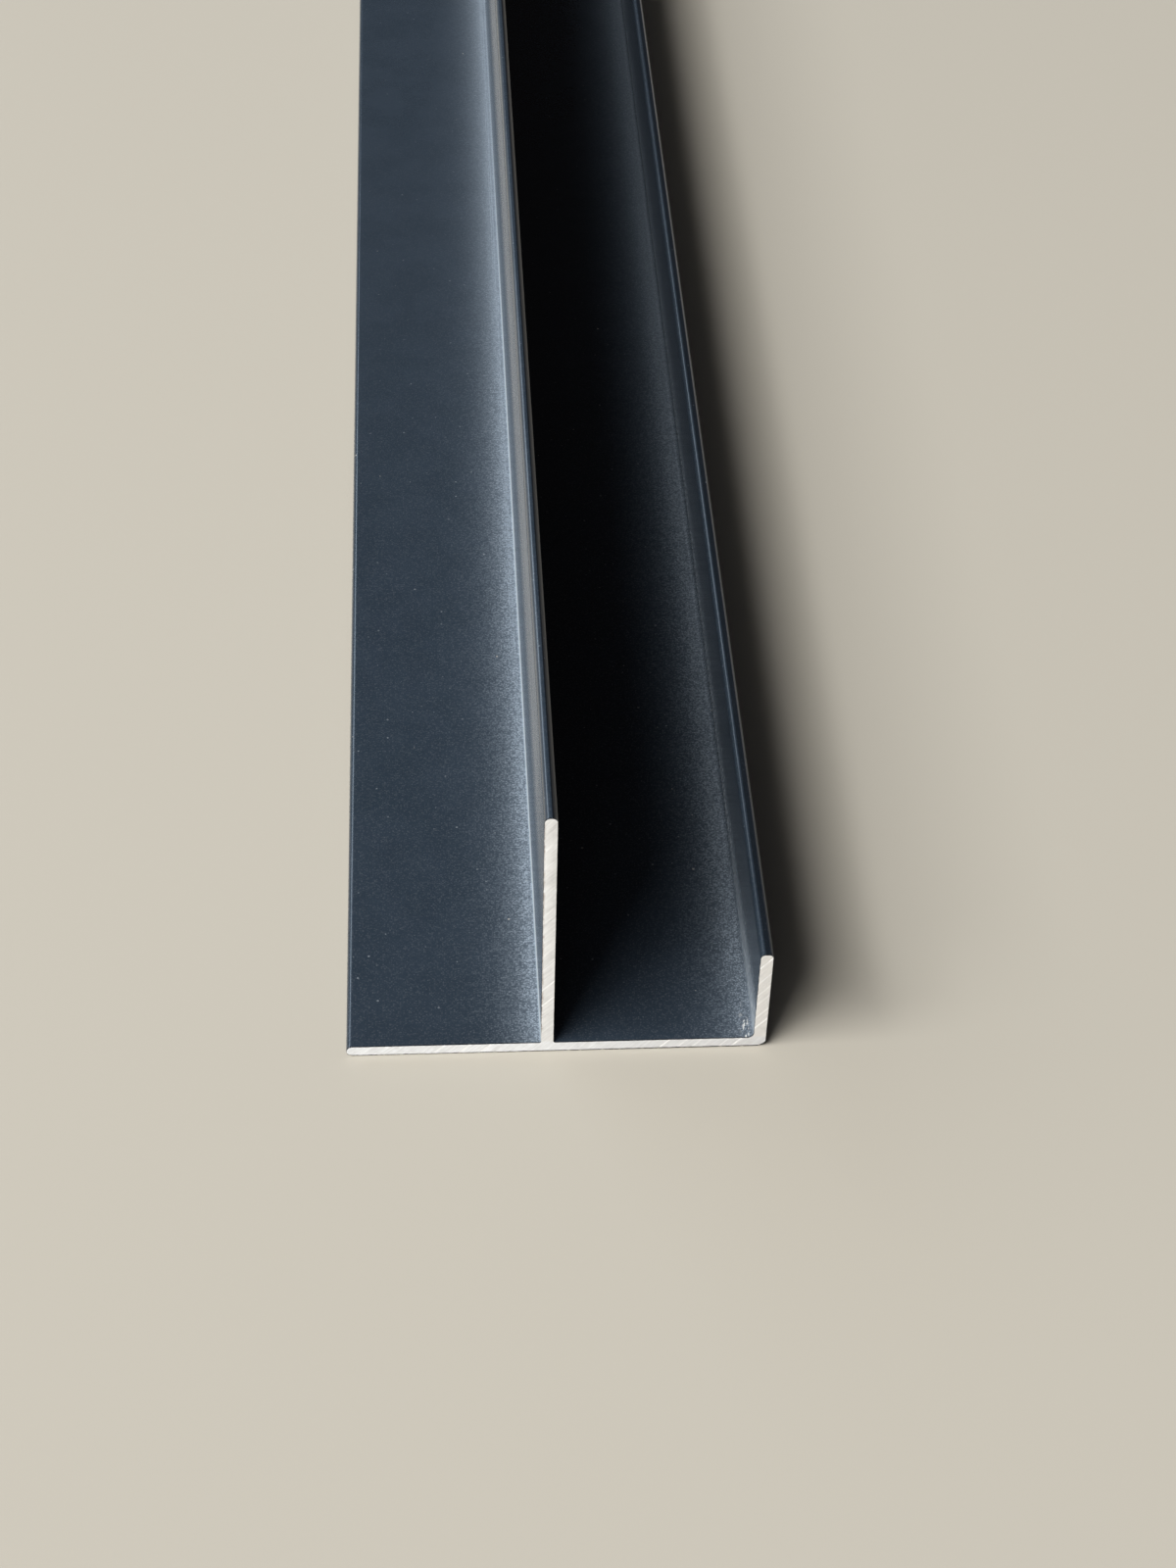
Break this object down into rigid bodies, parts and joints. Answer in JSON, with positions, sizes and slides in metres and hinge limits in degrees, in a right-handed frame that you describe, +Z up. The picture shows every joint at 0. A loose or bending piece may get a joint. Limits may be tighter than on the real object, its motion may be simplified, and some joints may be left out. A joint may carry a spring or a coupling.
{
  "type": "aluminium extrusion profile",
  "caption": "Unequal F-shaped aluminium extrusion with a wide flat spine, a tall web and a short lip that form an open channel and a ledge; powder-coated, both ends sawn square.",
  "frame": {"origin": "middle of the underside: halfway along the bar and halfway across the spine, on the surface it lies on", "axes": "+Y along the bar, -Y is the sawn end that the picture shows; +X across the spine from the ledge side to the lip side; +Z up, out of the underside towards the top of the web"},
  "size_m": [0.065, 1, 0.05],
  "materials": {
    "powder_coat": "matte",
    "bare_cut": "satin"
  },
  "bodies": {
    "root": {"extrusion_profile": "powder_coat"}
  },
  "joints": []
}
